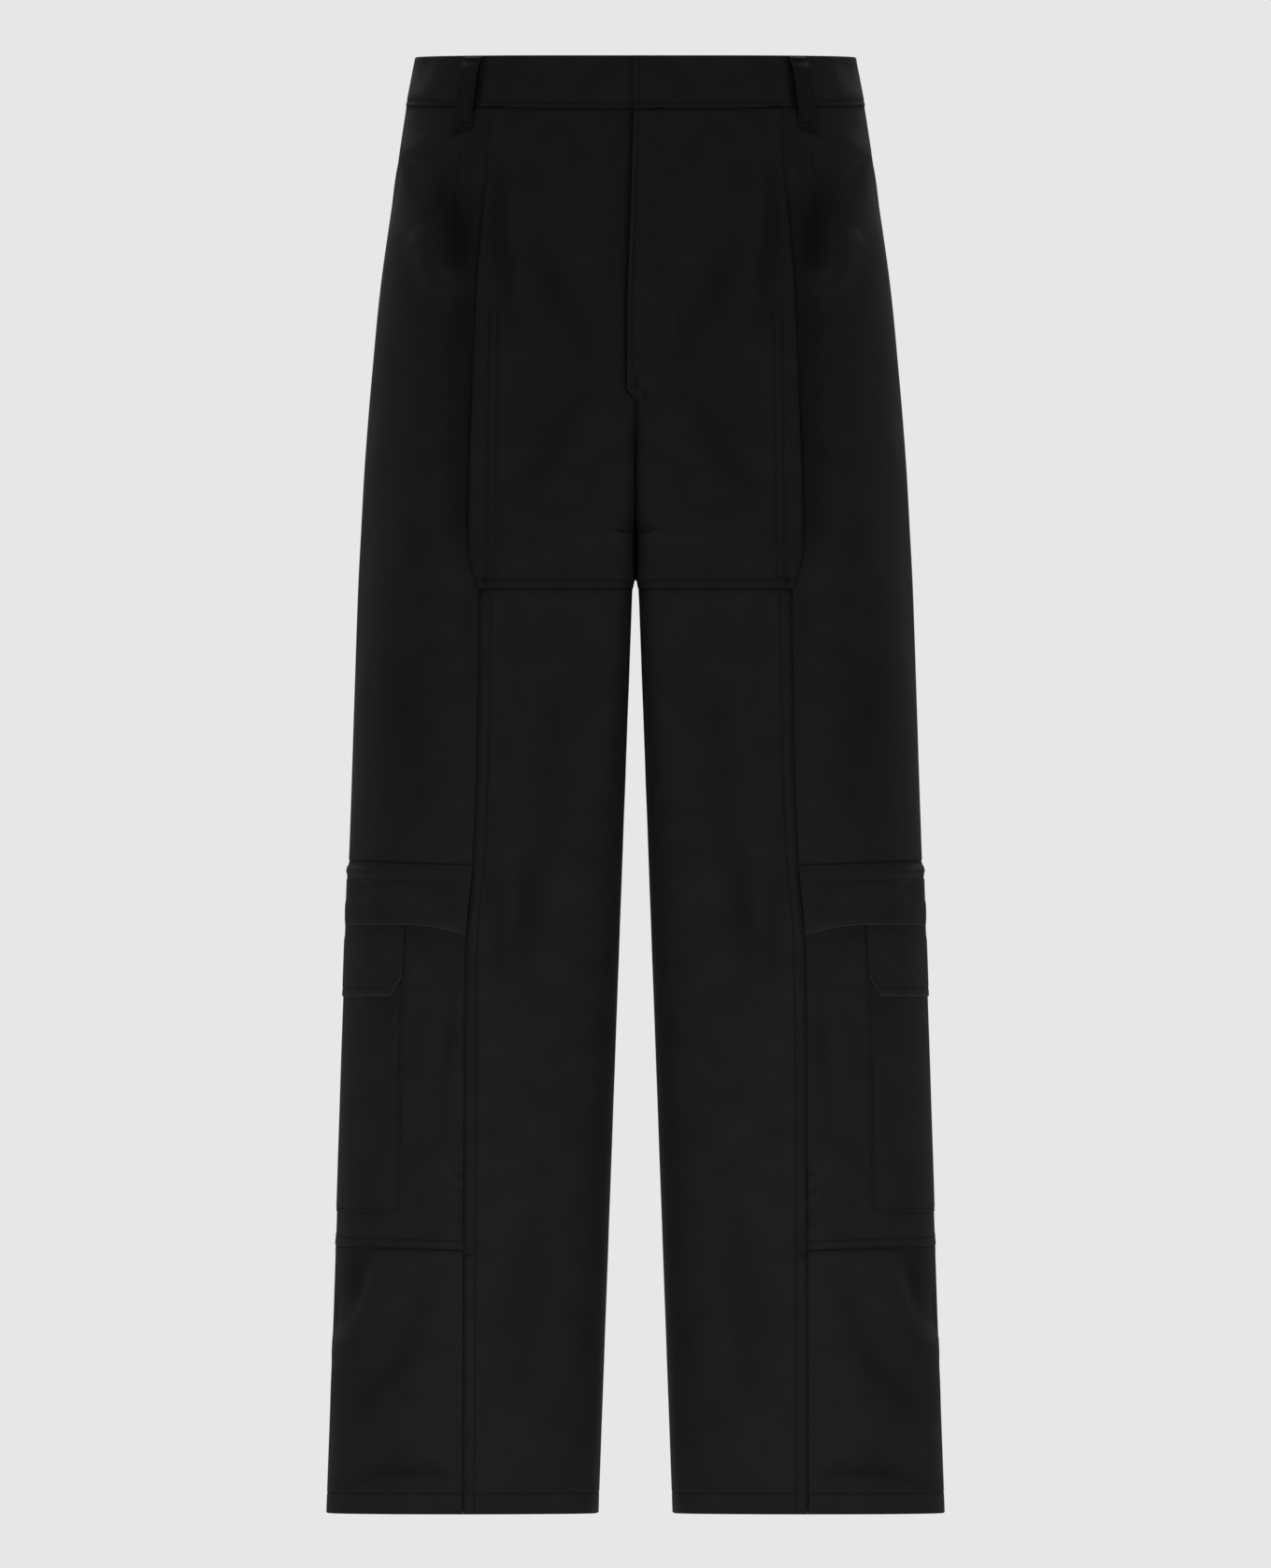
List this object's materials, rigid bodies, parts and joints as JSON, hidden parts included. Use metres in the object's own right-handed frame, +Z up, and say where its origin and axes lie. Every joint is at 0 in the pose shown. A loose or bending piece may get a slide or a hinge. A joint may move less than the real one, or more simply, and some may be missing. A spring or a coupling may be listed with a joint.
{
  "type": "cargo trousers",
  "caption": "Wide straight black cargo trousers, hollow as worn, with pleat folds on the front, a fly, belt loops, and a flapped cargo pocket with a small patch pocket on each side.",
  "frame": {"origin": "centre of the waist opening, level with the waistband's top edge, where the wearer's waist holds the trousers up", "axes": "+Z up along the body, -Y the front of the trousers, +X the wearer's left"},
  "size_m": [0.4588, 0.2614, 1.08],
  "materials": {
    "twill": "near-black fine twill with a faint soft sheen",
    "zip_tape": "black woven tape with a closed chain",
    "trim_metal": "black oxide, satin"
  },
  "bodies": {
    "root": {"waistband_l": "twill", "waistband_r": "twill", "front_upper_l": "twill", "front_upper_r": "twill", "front_lower_l": "twill", "front_lower_r": "twill", "side_upper_l": "twill", "side_upper_r": "twill", "hip_welt_l": "twill", "hip_welt_r": "twill", "cargo_backing_l": "twill", "cargo_backing_r": "twill", "cargo_pocket_l": "twill", "cargo_pocket_r": "twill", "cargo_flap_l": "twill", "cargo_flap_r": "twill", "side_patch_l": "twill", "side_patch_r": "twill", "patch_flap_l": "twill", "patch_flap_r": "twill", "side_lower_l": "twill", "side_lower_r": "twill", "back_l": "twill", "back_r": "twill", "belt_loop_front_l": "twill", "belt_loop_front_r": "twill", "belt_loop_back_l": "twill", "belt_loop_back_r": "twill", "belt_loop_centre": "twill", "fly_zip": "zip_tape", "zip_slider": "trim_metal", "waist_hook": "trim_metal", "waist_bar": "trim_metal"}
  },
  "joints": []
}
